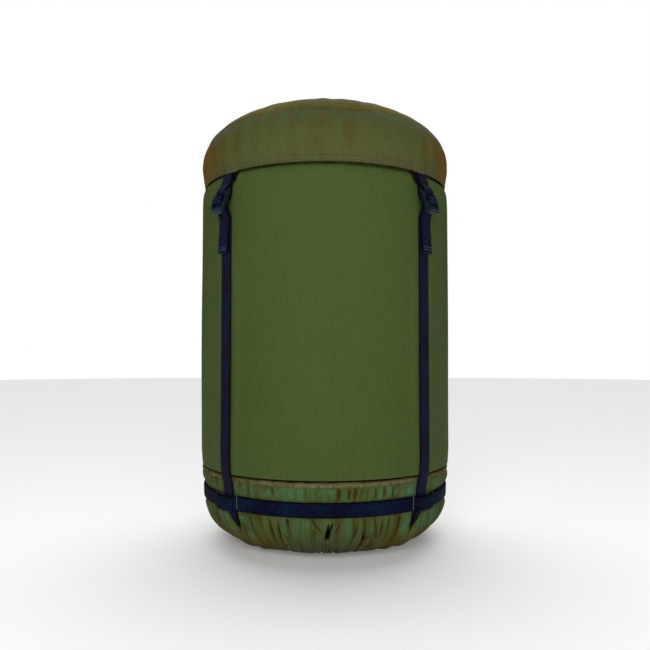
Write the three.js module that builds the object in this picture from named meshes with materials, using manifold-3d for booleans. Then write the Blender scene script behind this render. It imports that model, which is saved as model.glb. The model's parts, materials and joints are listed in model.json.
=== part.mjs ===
// Compression stuff sack, packed full and standing on its base.
// Units are millimetres, +Z is up, and the front of the sack faces -Y.
// The origin is on the floor, under the middle of the base.
import * as THREE from 'three';
import { mergeVertices } from 'three/addons/utils/BufferGeometryUtils.js';
import Module from 'manifold-3d';

const wasm = await Module();
wasm.setup();

// ---- Driving dimensions ----
const GAP = 0.4;              // clearance between touching pieces
const SIDES = 32;             // facets around every revolved piece
const CLOTH = 1.4;            // thickness of every cloth shell
const WEB_WIDTH = 15;         // all webbing on the sack
const WEB_THICK = 1.5;

// Main panel, given by its outside radius and height.
const PANEL_FOOT = { r: 141.2, z: 87.3 };
const PANEL_BELLY = { r: 142.2, z: 104 };
const PANEL_TOP = { r: 139.7, z: 376 };
const SHOULDER = [            // under the lid the sack is narrower
  { r: 137.2, z: 382 },
  { r: 132.2, z: 388.5 },
  { r: 130, z: 393.5 },
];
const SHOULDER_R = SHOULDER[2].r;
const SHOULDER_Z = SHOULDER[2].z;

// Lower end: ruched strip, gathered skirt, and the belt around it.
const STRIP_FOOT_Z = 80.9;
const BELT_FOOT_Z = 51;
const BELT_HEAD_Z = 66.5;
const SKIRT_R = 137;          // at the belt
const SKIRT_HEAD_R = 139.2;
const BASE_Z = 2.2;           // underside of the cloth, over the base webbing
const BASE_FLAT_R = 54;       // flat middle of the base
const PATCH_R = 30;           // base patch that the straps are sewn to

// Lid.
const LID_HEM_Z = 395.5;
const LID_HEM_HEIGHT = 4;
const LID_HEM_R = 137.4;
const LID_HEM_THICK = 2.8;
const LID_R = 140.3;
const LID_WAIST_Z = 416;      // its widest level
const LID_TOP_Z = 490;
const CROWN_SEAM = { band: 0.4, crown: 0.406 };  // radians up from the waist, either side

// Mouth of the sack, under the lid.
const COLLAR_WAIST_Z = 408;
const COLLAR_TOP_Z = 470;
const MOUTH_R = 15;
const MOUTH_HEM_R = 22;
const MOUTH_HEM_FOOT_Z = 465;
const MOUTH_HEM_HEAD_Z = 479;
const EYELET = { hole: 2, r: 3.6, thick: 1, depth: 3, z: 474.5, spread: 14 };  // spread in degrees

// Straps, one at each azimuth in degrees from the front.
const STRAPS = { front_left: -45, front_right: 45, rear_left: -135, rear_right: 135 };
const TUNNEL = { beyond: 2, half: 6.8, flat: 5.4, lift: 2.7 };  // degrees and millimetres
const RUN_HEAD_Z = 334;       // where the strap's lower length meets the length in its lock
const RUN_LEAVES_Z = 347;     // where it leaves the panel for the lock
const TAIL_OFF_RUN = 2.7;     // from the middle of the strap to the middle of its tail
const TAIL_END = { r: 146.4, z: 312 };

// Ladder lock, measured from its top bar along its length (t) and outward (n).
const HINGE = { r: 145, z: 373.3 };
const LOCK_TILT = THREE.MathUtils.degToRad(21);
const LOCK = { inner: 7.9, outer: 10.4, bar: 1.6, midFrom: 9.4, midTo: 13, lipFrom: 19.2, end: 24.4 };
const LOCK_HALF = 1.7;

// ---- Materials ----
const cloth = (color) => new THREE.MeshStandardMaterial({ color, roughness: 0.75, metalness: 0 });
const RIPSTOP = cloth(0x48572f);
const TAFFETA = cloth(0x52603a);
const LID_CLOTH = cloth(0x565634);
const STRIP_CLOTH = cloth(0x5a563a);
const WEBBING = cloth(0x1c1d2e);
const PLASTIC = new THREE.MeshStandardMaterial({ color: 0x10151a, roughness: 0.35, metalness: 0 });
const BRASS = new THREE.MeshStandardMaterial({ color: 0x3a3a38, roughness: 0.4, metalness: 1 });

// ---- Profiles, as points of radius and height ----
const v2 = (r, z) => new THREE.Vector2(r, z);

// Points moved sideways by a distance, positive to the left of their direction.
function offset(points, distance) {
  return points.map((p, i) => {
    const before = points[Math.max(i - 1, 0)];
    const after = points[Math.min(i + 1, points.length - 1)];
    const along = after.clone().sub(before).normalize();
    return v2(p.x - distance * along.y, p.y + distance * along.x);
  });
}

// A quarter of a superellipse, from its widest level (angle 0) to its axis (a quarter turn).
function dome(base, rise, power, from, to, count) {
  return Array.from({ length: count + 1 }, (_, i) => {
    const angle = from + ((to - from) * i) / count;
    const cos = Math.max(Math.cos(angle), 0);
    return v2(base.r * cos ** (2 / power.r), base.z + rise * Math.sin(angle) ** (2 / power.z));
  });
}

// Outside of the rounded base, from its flat middle up to the foot of the belt.
function baseCurve(count) {
  const sweep = { r: SKIRT_R - BASE_FLAT_R, z: BELT_FOOT_Z };
  return dome(sweep, BASE_Z - BELT_FOOT_Z, { r: 3.1, z: 1.84 }, 0, Math.PI / 2, count)
    .map((p) => v2(p.x + BASE_FLAT_R, p.y))
    .reverse();
}

// ---- Solids ----
function revolve(section) {
  return new THREE.LatheGeometry(section, SIDES).rotateX(Math.PI / 2);
}

// An open ring or tube of cloth, its outside given from low to high.
function tube(outside, thickness = CLOTH) {
  return revolve([...outside, ...offset(outside, thickness).reverse(), outside[0]]);
}

// An outline in radius and height, given a width across the front of the sack.
function across(outline, width) {
  const geometry = new THREE.ExtrudeGeometry(new THREE.Shape(outline), {
    depth: width,
    bevelEnabled: false,
  });
  const front = new THREE.Vector3(0, -1, 0);
  const up = new THREE.Vector3(0, 0, 1);
  const side = new THREE.Vector3(-1, 0, 0);
  return geometry
    .translate(0, 0, -width / 2)
    .applyMatrix4(new THREE.Matrix4().makeBasis(front, up, side));
}

function webbing(centreline, thickness = WEB_THICK) {
  const inner = offset(centreline, thickness / 2);
  const outer = offset(centreline, -thickness / 2);
  return across([...outer, ...inner.reverse()], WEB_WIDTH);
}

// A round bar across the front of the sack, at a radius and height.
function bar(place, radius, length) {
  return new THREE.CylinderGeometry(radius, radius, length, 20)
    .rotateZ(Math.PI / 2)
    .translate(0, -place.r, place.z);
}

// ---- Cuts and joins ----
function solid(geometry) {
  const bare = geometry.clone();
  bare.deleteAttribute('normal');
  bare.deleteAttribute('uv');
  const merged = mergeVertices(bare, 1e-4);
  return new wasm.Manifold(new wasm.Mesh({
    numProp: 3,
    vertProperties: merged.attributes.position.array,
    triVerts: new Uint32Array(merged.index.array),
  }));
}

function geometryOf(manifold) {
  const made = manifold.getMesh();
  const geometry = new THREE.BufferGeometry();
  geometry.setAttribute('position', new THREE.BufferAttribute(made.vertProperties, 3));
  geometry.setIndex(new THREE.BufferAttribute(made.triVerts, 1));
  geometry.computeVertexNormals();
  return geometry;
}

// ---- The assembly ----
const sack = new THREE.Group();

function add(name, geometry, material, parent = sack) {
  const mesh = new THREE.Mesh(geometry, material);
  mesh.name = name;
  parent.add(mesh);
}

// A group turned about Z, so that its own front faces the azimuth.
function facing(azimuth) {
  const group = new THREE.Group();
  group.rotation.z = THREE.MathUtils.degToRad(azimuth);
  sack.add(group);
  return group;
}

function addPanelAndCollar() {
  const panel = [PANEL_FOOT, PANEL_BELLY, PANEL_TOP, ...SHOULDER];
  add('body_panel', tube(panel.map((p) => v2(p.r, p.z))), RIPSTOP);

  const waist = { r: SHOULDER_R, z: COLLAR_WAIST_Z };
  const rise = COLLAR_TOP_Z - COLLAR_WAIST_Z;
  const roof = dome(waist, rise, { r: 1.8, z: 2.3 }, 0, 1.37, 7);
  const collar = [v2(SHOULDER_R, SHOULDER_Z + GAP), ...roof];
  collar[collar.length - 1].x = MOUTH_HEM_R + GAP;
  add('mouth_collar', tube(collar), TAFFETA);
}

function addMouthHem() {
  const section = [
    v2(MOUTH_R + 1, MOUTH_HEM_FOOT_Z),
    v2(MOUTH_HEM_R - 1, MOUTH_HEM_FOOT_Z),
    v2(MOUTH_HEM_R, MOUTH_HEM_FOOT_Z + 2),
    v2(MOUTH_HEM_R, MOUTH_HEM_HEAD_Z - 2),
    v2(MOUTH_HEM_R - 2, MOUTH_HEM_HEAD_Z),
    v2(MOUTH_R + 2, MOUTH_HEM_HEAD_Z),
    v2(MOUTH_R, MOUTH_HEM_HEAD_Z - 2),
    v2(MOUTH_R, MOUTH_HEM_FOOT_Z + 2),
    v2(MOUTH_R + 1, MOUTH_HEM_FOOT_Z),
  ];
  const half = EYELET.thick / 2;
  const ring = [
    v2(EYELET.hole, -half),
    v2(EYELET.r, -half),
    v2(EYELET.r - 0.4, half),
    v2(EYELET.hole + 0.4, half),
    v2(EYELET.hole, -half),
  ];
  let hem = solid(revolve(section));
  for (const [side, azimuth] of [['left', -EYELET.spread], ['right', EYELET.spread]]) {
    const hole = new THREE.CylinderGeometry(EYELET.hole, EYELET.hole, EYELET.depth * 2, 12)
      .translate(0, -MOUTH_HEM_R, EYELET.z)
      .rotateZ(THREE.MathUtils.degToRad(azimuth));
    hem = hem.subtract(solid(hole));
    const eyelet = new THREE.LatheGeometry(ring, 16)
      .rotateX(Math.PI)
      .translate(0, -(MOUTH_HEM_R + GAP + half), EYELET.z);
    add(`hem_eyelet_${side}`, eyelet, BRASS, facing(azimuth));
  }
  add('mouth_hem', geometryOf(hem), TAFFETA);
}

function addLowerEnd() {
  const outside = [
    ...baseCurve(7),
    v2(SKIRT_R, BELT_HEAD_Z),
    v2(SKIRT_HEAD_R, STRIP_FOOT_Z - GAP),
  ];
  const inside = offset(outside, CLOTH).reverse();
  add('base_skirt', revolve([v2(0, BASE_Z), ...outside, ...inside, v2(0, BASE_Z + CLOTH)]), TAFFETA);

  const strip = [v2(SKIRT_HEAD_R, STRIP_FOOT_Z), v2(PANEL_FOOT.r, PANEL_FOOT.z - GAP)];
  add('ruched_strip', tube(strip, 2), STRIP_CLOTH);

  const patch = [v2(0, 0), v2(PATCH_R, 0), v2(PATCH_R, WEB_THICK), v2(0, WEB_THICK)];
  add('base_patch', revolve(patch), STRIP_CLOTH);
}

// How far the belt stands out at an azimuth in degrees, to let a strap pass under it.
function tunnelLift(azimuth) {
  const centres = Object.values(STRAPS).map((a) => a + Math.sign(a) * TUNNEL.beyond);
  const away = Math.min(...centres.map((c) => Math.abs(azimuth - c)));
  const ramp = (TUNNEL.half - away) / (TUNNEL.half - TUNNEL.flat);
  return TUNNEL.lift * Math.min(Math.max(ramp, 0), 1);
}

function addBelt() {
  const circle = (radius) => Array.from({ length: 200 }, (_, i) => {
    const azimuth = i * 1.8 - 180;
    const turn = THREE.MathUtils.degToRad(azimuth - 90);
    const r = radius + tunnelLift(azimuth);
    return v2(r * Math.cos(turn), r * Math.sin(turn));
  });
  const inner = SKIRT_R + GAP;
  const ring = new THREE.Shape(circle(inner + WEB_THICK));
  ring.holes.push(new THREE.Path(circle(inner)));
  const belt = new THREE.ExtrudeGeometry(ring, {
    depth: BELT_HEAD_Z - BELT_FOOT_Z,
    bevelEnabled: false,
  });
  add('belt', belt.translate(0, 0, BELT_FOOT_Z), WEBBING);
}

function addLid() {
  const waist = { r: LID_R, z: LID_WAIST_Z };
  const rise = LID_TOP_Z - LID_WAIST_Z;
  const power = { r: 1.7, z: 2.42 };
  const shoulder = dome(waist, rise, power, 0, CROWN_SEAM.band, 3);
  const band = [v2(LID_HEM_R, LID_HEM_Z + LID_HEM_HEIGHT + GAP), ...shoulder];
  add('lid_band', tube(band), LID_CLOTH);

  const crown = dome(waist, rise, power, CROWN_SEAM.crown, Math.PI / 2, 7);
  const lining = offset(crown, CLOTH).reverse();
  crown[crown.length - 1].x = 0;
  lining[0].x = 0;
  add('lid_crown', revolve([...lining, ...crown]), LID_CLOTH);

  const hem = [v2(LID_HEM_R, LID_HEM_Z), v2(LID_HEM_R, LID_HEM_Z + LID_HEM_HEIGHT)];
  add('lid_hem', tube(hem, LID_HEM_THICK), LID_CLOTH);
}

// A point of the ladder lock, as radius and height.
function onLock(t, n) {
  const sin = Math.sin(LOCK_TILT);
  const cos = Math.cos(LOCK_TILT);
  return v2(HINGE.r + t * sin + n * cos, HINGE.z - t * cos + n * sin);
}

// A bar of the lock, its outline in t and n, across a width.
function lockBar(outline, width) {
  return solid(across(outline.map(([t, n]) => onLock(t, n)), width));
}

function ladderLock() {
  const wide = 2 * LOCK.outer;
  const { bar: r, midFrom, midTo, lipFrom, end } = LOCK;
  const h = LOCK_HALF;
  const frame = lockBar([[-r, -h], [end, -h], [end + 0.8, 0], [end, h], [-r, h]], wide);
  const window = lockBar([[-2 * r, -3 * h], [lipFrom, -3 * h], [lipFrom, 3 * h], [-2 * r, 3 * h]],
    2 * LOCK.inner);
  const middle = lockBar([[midFrom, -h], [midTo, -h], [midTo, h], [midFrom, h]], wide - 1);
  return geometryOf(frame.subtract(window).add(middle).add(solid(bar(HINGE, r, wide - 1))));
}

// The radius of a strap's middle, high on the panel.
function besidePanel() {
  return THREE.MathUtils.mapLinear(RUN_HEAD_Z, PANEL_BELLY.z, PANEL_TOP.z, PANEL_BELLY.r, PANEL_TOP.r)
    + GAP + WEB_THICK / 2;
}

// The strap on the sack: from the base patch, round the base, and up the panel.
function strapRun() {
  const back = GAP + WEB_THICK / 2;
  const underBase = offset(baseCurve(9), -back).filter((p) => p.x > BASE_FLAT_R);
  underBase.forEach((p) => { p.y = Math.max(p.y, WEB_THICK / 2); });
  return [
    v2(PATCH_R + GAP, WEB_THICK / 2),
    v2(BASE_FLAT_R, WEB_THICK / 2),
    ...underBase,
    v2(SKIRT_R + back, BELT_HEAD_Z),
    v2(SKIRT_HEAD_R + back, STRIP_FOOT_Z - GAP),
    v2(PANEL_FOOT.r + back, PANEL_FOOT.z),
    v2(PANEL_BELLY.r + back, PANEL_BELLY.z),
    v2(besidePanel(), RUN_HEAD_Z),
  ];
}

// The rest of the strap: off the panel, up behind the lock, round its middle bar, and down again
// beside itself as a tail.
function strapEnd() {
  const clear = GAP + WEB_THICK / 2;
  const front = LOCK_HALF + clear;
  const tail = -front;
  const load = tail - WEB_THICK - GAP;
  const leaves = v2(besidePanel(), RUN_LEAVES_Z);
  const up = LOCK.midFrom - clear;
  const down = LOCK.midTo + clear;
  return [
    v2(besidePanel(), RUN_HEAD_Z + GAP),
    leaves,
    onLock(down, load + 0.6),
    onLock(up + 1.2, load + 1.4),
    onLock(up, load + 2.8),
    onLock(up, front - 1.2),
    onLock(up + 1.2, front),
    onLock(down - 1.2, front),
    onLock(down, front - 1.2),
    onLock(down + 0.3, tail + 1.9),
    onLock(down + 1.7, tail),
    leaves.clone().add(v2(TAIL_OFF_RUN, -2)),
    v2(TAIL_END.r, TAIL_END.z),
  ];
}

// The short webbing that holds the lock: sewn inside the lid's hem, folded round the top bar.
function lockWebbing() {
  const doubled = 2 * WEB_THICK;
  const layerR = SHOULDER_R + 0.5 + WEB_THICK;
  const strap = webbing([
    v2(layerR, LID_HEM_Z + 8),
    v2(layerR, LID_HEM_Z + 0.5),
    v2(layerR + 1.8, LID_HEM_Z - 3.5),
    v2(HINGE.r, HINGE.z),
  ], doubled);
  const eye = LOCK.bar + GAP;
  const loop = solid(strap).add(solid(bar(HINGE, eye + WEB_THICK, WEB_WIDTH)));
  return geometryOf(loop.subtract(solid(bar(HINGE, eye, 2 * WEB_WIDTH))));
}

addPanelAndCollar();
addMouthHem();
addLowerEnd();
addBelt();
addLid();
for (const [corner, azimuth] of Object.entries(STRAPS)) {
  const place = facing(azimuth);
  add(`strap_run_${corner}`, webbing(strapRun()), WEBBING, place);
  add(`strap_end_${corner}`, webbing(strapEnd()), WEBBING, place);
  add(`ladder_lock_${corner}`, ladderLock(), PLASTIC, place);
  add(`lock_webbing_${corner}`, lockWebbing(), WEBBING, place);
}

export default sack;
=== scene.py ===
"""Compression stuff sack: cloth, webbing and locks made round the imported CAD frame. Metres, +Z up."""
import json
import math
from math import pi, radians

import bmesh
import bpy
import numpy as np
from mathutils import Matrix, Vector
from mathutils.bvhtree import BVHTree

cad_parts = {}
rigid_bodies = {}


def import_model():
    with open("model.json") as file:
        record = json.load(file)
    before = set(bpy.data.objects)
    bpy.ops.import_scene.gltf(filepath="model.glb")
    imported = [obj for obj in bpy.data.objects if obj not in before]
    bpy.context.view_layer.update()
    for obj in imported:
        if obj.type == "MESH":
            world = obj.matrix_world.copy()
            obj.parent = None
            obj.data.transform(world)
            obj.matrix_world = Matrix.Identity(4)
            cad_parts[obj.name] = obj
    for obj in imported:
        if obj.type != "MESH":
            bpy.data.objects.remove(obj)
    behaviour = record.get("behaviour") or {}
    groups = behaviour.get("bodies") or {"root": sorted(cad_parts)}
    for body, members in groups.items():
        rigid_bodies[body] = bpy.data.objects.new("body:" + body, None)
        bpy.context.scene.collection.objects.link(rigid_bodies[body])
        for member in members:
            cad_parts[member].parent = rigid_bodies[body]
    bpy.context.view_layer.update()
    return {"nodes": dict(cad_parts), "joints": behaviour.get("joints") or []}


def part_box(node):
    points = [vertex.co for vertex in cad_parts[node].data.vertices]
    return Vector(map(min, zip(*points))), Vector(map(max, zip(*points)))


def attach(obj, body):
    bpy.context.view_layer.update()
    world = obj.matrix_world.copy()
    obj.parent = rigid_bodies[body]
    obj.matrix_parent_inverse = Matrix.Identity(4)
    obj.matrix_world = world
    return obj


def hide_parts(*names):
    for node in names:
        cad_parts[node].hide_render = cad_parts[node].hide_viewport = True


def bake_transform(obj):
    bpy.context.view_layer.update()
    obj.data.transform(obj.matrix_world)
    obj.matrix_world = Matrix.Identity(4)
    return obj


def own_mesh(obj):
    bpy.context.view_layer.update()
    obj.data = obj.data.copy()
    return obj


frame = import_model()

MM = 0.001
TURN = 2 * pi
CORNERS = {"front_left": -45, "front_right": 45, "rear_left": -135, "rear_right": 135}
CLOTH = 1.1 * MM
WEB_WIDTH = 15 * MM
WEB_THICK = 1.5 * MM
RIB_PITCH = 2 * MM


def low(node):
    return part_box(node)[0]


def high(node):
    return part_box(node)[1]


def add_object(name, data):
    """A new object in the scene."""
    made = bpy.data.objects.new(name, data)
    bpy.context.scene.collection.objects.link(made)
    return made


# -------- camera, floor and light
EYE_HEIGHT = 0.206
EYE_DISTANCE = 0.78
LENS = 37.03
SHIFT_UP = 0.0492
AMBIENT = 0.09
LIT_POINT = (0, 0, 0.25)
LIGHT_SIZE = 0.85
SUN_POWER, SUN_SPREAD, SUN_LEAN = 2.3, radians(75), radians(-32)
FLOOR_RADIUS = 6
FLOOR_SHADE = (0.93, 0.93, 0.93, 1)
FLOOR_GLOW = 0.12
WHITE, BLACK = (1, 1, 1, 1), (0, 0, 0, 1)


def add_camera():
    camera = add_object("camera", bpy.data.cameras.new("camera"))
    camera.location = (0, -EYE_DISTANCE, EYE_HEIGHT)
    camera.rotation_euler = (pi / 2, 0, 0)
    camera.data.lens = LENS
    camera.data.shift_y = SHIFT_UP
    bpy.context.scene.camera = camera


def area_light(name, place, power):
    data = bpy.data.lights.new(name, "AREA")
    data.shape = "DISK"
    data.size = LIGHT_SIZE
    data.energy = power
    lamp = add_object(name, data)
    lamp.location = place
    lamp.rotation_euler = (Vector(LIT_POINT) - Vector(place)).to_track_quat("-Z", "Y").to_euler()


def add_studio():
    scene = bpy.context.scene
    scene.view_settings.view_transform = "Standard"
    world = bpy.data.worlds.new("studio")
    scene.world = world
    world.use_nodes = True
    tree = world.node_tree
    seen = tree.nodes.new("ShaderNodeLightPath").outputs["Is Camera Ray"]
    strength = tree.nodes.new("ShaderNodeMapRange")
    strength.inputs["To Min"].default_value = AMBIENT
    strength.inputs["To Max"].default_value = 1
    tree.links.new(seen, strength.inputs["Value"])
    tree.links.new(strength.outputs["Result"], tree.nodes["Background"].inputs["Strength"])
    tree.nodes["Background"].inputs["Color"].default_value = WHITE
    area_light("key", (-0.36, -1.75, 0.85), 12.4)
    area_light("fill", (0.4, -1.7, 0.6), 7.8)
    above = add_object("above", bpy.data.lights.new("above", "SUN"))
    above.data.energy = SUN_POWER
    above.data.angle = SUN_SPREAD
    above.rotation_euler = (SUN_LEAN, 0, 0)

    bpy.ops.mesh.primitive_circle_add(vertices=96, radius=FLOOR_RADIUS, fill_type="NGON")
    floor = bpy.context.object
    floor.name = "floor"
    paint = bpy.data.materials.new("floor_paint")
    paint.use_nodes = True
    shader = paint.node_tree.nodes["Principled BSDF"]
    for key, value in {"Base Color": FLOOR_SHADE, "Roughness": 0.9, "Emission Color": WHITE,
                       "Emission Strength": FLOOR_GLOW}.items():
        shader.inputs[key].default_value = value
    floor.data.materials.append(paint)


# -------- uneven waves and creases
def waves(az, count, seed, spread=0.4):
    """Uneven waves round the sack, about count of them, mostly from -1 to 1."""
    draw = np.random.default_rng(seed)
    numbers = np.arange(max(1, round(count * (1 - spread))), round(count * (1 + spread)) + 1)
    sizes = draw.uniform(0.4, 1, len(numbers))
    phases = draw.uniform(0, TURN, len(numbers))
    total = sum(a * np.cos(k * az + p) for k, a, p in zip(numbers, sizes, phases))
    return total / math.sqrt((sizes**2).sum())


def drift(az, along, count, length, seed, terms=14):
    """Uneven waves both round the sack and along it."""
    draw = np.random.default_rng(seed)
    total = 0
    for _ in range(terms):
        k = round(draw.uniform(-1, 1) * count)
        m = draw.uniform(0.3, 1) * TURN / length
        total = total + np.cos(k * az + m * along + draw.uniform(0, TURN))
    return total / math.sqrt(terms)


def hump(x, width, power=2):
    """1 where x is 0, and less on both sides, down to nothing at about twice the width."""
    return np.exp(-((x / width) ** power))


def valleys(wave, width):
    """0 on the rounded tops of waves, and down to -1 in the narrow valleys between them."""
    return -hump(wave, width)


def angle_from(az, middle):
    """The way round from one azimuth to another, at most half a turn."""
    return (az - middle + pi) % TURN - pi


def folds(az, count, seed, width):
    """Narrow valleys, all about width radians wide, at uneven places: 0 on the cloth between them
    and -1 in them."""
    small = 0.002
    slope = (waves(az + small, count, seed) - waves(az - small, count, seed)) / (2 * small)
    away = np.abs(waves(az, count, seed)) / np.maximum(np.abs(slope), 0.45 * count)
    return -hump(away, width)


def step(x, start, end):
    """0 up to the start, 1 from the end, and smooth between them."""
    t = np.clip((x - start) / (end - start), 0, 1)
    return t * t * (3 - 2 * t)


def crease(x, y, start, end, depth, width):
    """A straight crease on the cloth, pulled in along its line and fading at both ends."""
    a, b = np.array(start), np.array(end)
    d = b - a
    t = ((x - a[0]) * d[0] + (y - a[1]) * d[1]) / (d @ d)
    near = np.clip(t, 0, 1)
    away = np.hypot(x - a[0] - near * d[0], y - a[1] - near * d[1])
    fade = step(t, -0.15, 0.25) * (1 - step(t, 0.85, 1.1))
    return -depth * hump(away, width) * fade


# -------- meshes
def object_of(name, verts, faces, uvs=None):
    """A mesh object from points and faces of four corners each, with a uv for each corner."""
    mesh = bpy.data.meshes.new(name)
    mesh.vertices.add(len(verts))
    mesh.vertices.foreach_set("co", np.ascontiguousarray(verts, np.float32).ravel())
    mesh.loops.add(faces.size)
    mesh.loops.foreach_set("vertex_index", faces.ravel().astype(np.int32))
    mesh.polygons.add(len(faces))
    mesh.polygons.foreach_set("loop_start", np.arange(0, faces.size, 4, dtype=np.int32))
    mesh.update(calc_edges=True)
    if uvs is not None:
        layer = mesh.uv_layers.new(name="cloth_uv")
        layer.data.foreach_set("uv", uvs.astype(np.float32).ravel())
    mesh.shade_smooth()
    return add_object(name, mesh)


def sheet_mesh(name, front, back, u, v):
    """A closed thin sheet from two grids of points, front and back. u and v are their places on the
    flat cloth in metres. A sheet that goes all round has one more u, where it meets its start."""
    rows, columns = front.shape[:2]
    wrap = len(u) > columns
    count = rows * columns
    i, j = np.meshgrid(np.arange(rows - 1), np.arange(columns if wrap else columns - 1), indexing="ij")
    i, j = i.ravel(), j.ravel()
    k = (j + 1) % columns
    quads = np.stack([i * columns + j, i * columns + k, (i + 1) * columns + k, (i + 1) * columns + j], 1)
    uv = np.stack([np.stack([u[j], v[i]], 1), np.stack([u[j + 1], v[i]], 1),
                   np.stack([u[j + 1], v[i + 1]], 1), np.stack([u[j], v[i + 1]], 1)], 1)
    faces = [quads, quads[:, ::-1] + count]
    uvs = [uv, uv[:, ::-1]]
    span = np.arange(columns if wrap else columns - 1)
    after = (span + 1) % columns
    top = (rows - 1) * columns
    edges = [(after, span), (top + span, top + after)]
    if not wrap:
        side = np.arange(rows - 1) * columns
        edges += [(side, side + columns), (side + 2 * columns - 1, side + columns - 1)]
    for a, b in edges:
        faces.append(np.stack([a, b, b + count, a + count], 1))
        uvs.append(np.zeros((len(a), 4, 2)))
    verts = np.concatenate([front.reshape(-1, 3), back.reshape(-1, 3)])
    return object_of(name, verts, np.concatenate(faces), np.concatenate(uvs))


def lengths_along(line):
    return np.r_[0, np.cumsum(np.hypot(*np.diff(line, axis=0).T))]


def line_of(points, rows, rounds=0):
    """Evenly spaced points of radius and height along a line, with its corners rounded."""
    p = np.array(points, float)
    so_far = lengths_along(p)
    at = np.linspace(0, so_far[-1], rows)
    line = np.stack([np.interp(at, so_far, p[:, k]) for k in (0, 1)], 1)
    for _ in range(rounds):
        line[1:-1] = (line[:-2] + 2 * line[1:-1] + line[2:]) / 4
    return line


def steps_from(r, z, *steps):
    """Points of radius and height, each some millimetres out from a place and above it."""
    return [(r + out * MM, z + up * MM) for out, up in steps]


def normals_of(line):
    """The outward direction at each point of a line that runs upward outside."""
    along = np.gradient(line, axis=0)
    along /= np.linalg.norm(along, axis=1, keepdims=True)
    return np.stack([along[:, 1], -along[:, 0]], 1)


def way_out(az):
    """The level direction out of the sack at an azimuth."""
    return np.array([math.sin(az), -math.cos(az), 0])


def round_the_sack(az, r, z):
    """Points at an azimuth from the front, a radius and a height."""
    return np.stack([r * np.sin(az), -r * np.cos(az), z + 0 * r], -1)


def weld(piece, within=1e-6):
    """Joins points that lie on each other, as at the middle of a lid."""
    bm = bmesh.new()
    bm.from_mesh(piece.data)
    bmesh.ops.remove_doubles(bm, verts=bm.verts, dist=within)
    bm.to_mesh(piece.data)
    bm.free()


def note_folds(piece, heights):
    """Stores how far each point of a sheet's two sides stands out, in millimetres, where the
    material can read it."""
    fold = piece.data.attributes.get("fold") or piece.data.attributes.new("fold", "FLOAT", "POINT")
    fold.data.foreach_set("value", np.ravel([heights, heights]).astype(np.float32))


def skin(name, line, columns, push, thickness=CLOTH, pole=False):
    """A closed cloth shell round the sack. line runs from low to high on its outside, and push gives
    how far the cloth stands out of it, from azimuth, distance along the line, radius and height.
    columns is how many points go round, or their azimuths."""
    az = np.linspace(-pi, pi, columns, endpoint=False) if isinstance(columns, int) else columns
    closing = np.append(az, az[0] + TURN)
    az = az[None, :]
    out = normals_of(line)
    along = lengths_along(line)
    r, z = line[:, :1], line[:, 1:]
    d = push(az, along[:, None], r, z) + 0 * (az + r)
    grids = []
    for depth in (0, thickness):
        radius = np.maximum(r + (d - depth) * out[:, :1], 0)
        grids.append(round_the_sack(az, radius, z + (d - depth) * out[:, 1:]))
    made = sheet_mesh(name, *grids, closing * r.max(), along)
    note_folds(made, d / MM)
    if pole:
        weld(made)
    return made


def finish_piece(piece, material, body, slot, *nodes):
    """Gives a piece its material and its CAD body, and hides the CAD nodes that it stands for. slot is not
    used.
    """
    piece.data.materials.clear()
    piece.data.materials.append(material)
    if body:
        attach(piece, body)
    if nodes:
        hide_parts(*nodes)


def cloth_piece(node, line, columns, push, paint, body, slot, **how):
    """The cloth shell that stands for a CAD node."""
    made = skin(f"{node}_cloth", line, columns, push, **how)
    finish_piece(made, paint, body, slot, node)


# -------- materials
class Paint:
    """A Principled material and short ways to add nodes to it."""

    def __init__(self, name, roughness, **settings):
        self.material = bpy.data.materials.new(name)
        self.material.use_nodes = True
        self.tree = self.material.node_tree
        self.shader = self.tree.nodes["Principled BSDF"]
        self.set(self.shader, {"Roughness": roughness, **settings})
        self.objects = self.add("TexCoord").outputs["Object"]

    def set(self, node, values):
        for key, value in values.items():
            if isinstance(value, bpy.types.NodeSocket):
                self.tree.links.new(value, node.inputs[key])
            else:
                node.inputs[key].default_value = value

    def add(self, kind, inputs=None, **settings):
        node = self.tree.nodes.new("ShaderNode" + kind)
        for key, value in settings.items():
            setattr(node, key, value)
        self.set(node, inputs or {})
        return node

    def math(self, operation, a, b=0.0):
        return self.add("Math", {0: a, 1: b}, operation=operation).outputs[0]

    def times(self, a, b):
        return self.math("MULTIPLY", a, b)

    def noise(self, scale, detail, place=None):
        values = {"Vector": place or self.objects, "Scale": scale, "Detail": detail}
        return self.add("TexNoise", values).outputs["Fac"]

    def ramp(self, value, low, high):
        """0 below low and 1 above high."""
        return self.add("MapRange", {"Value": value, "From Min": low, "From Max": high}).outputs["Result"]

    def mix(self, share, a, b):
        node = self.add("Mix", data_type="RGBA")
        self.set(node, {0: share, 6: a, 7: b})
        return node.outputs[2]

    def bump(self, height, distance, strength, under=None):
        values = {"Height": height, "Distance": distance, "Strength": strength}
        if under is not None:
            values["Normal"] = under
        return self.add("Bump", values).outputs["Normal"]


def rgb(red, green, blue):
    """A colour given as it looks on a screen, 0 to 255, as the linear colour that a shader takes."""
    c = np.array([red, green, blue]) / 255
    return (*np.where(c <= 0.04045, c / 12.92, ((c + 0.055) / 1.055) ** 2.4), 1)


WEAVE_PITCH = 0.35 * MM
RIPSTOP_PITCH, RIPSTOP_WIDTH = 3 * MM, 0.5 * MM
YARN_PITCH = 0.8 * MM


def threads(paint, place, pitch):
    """Heights of a plain weave: threads over and under each other, pitch apart."""
    split = paint.add("SeparateXYZ", {0: place})
    scale = pi / pitch
    across = paint.math("SINE", paint.times(split.outputs[0], scale))
    along = paint.math("SINE", paint.times(split.outputs[1], scale))
    return paint.times(across, along)


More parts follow.
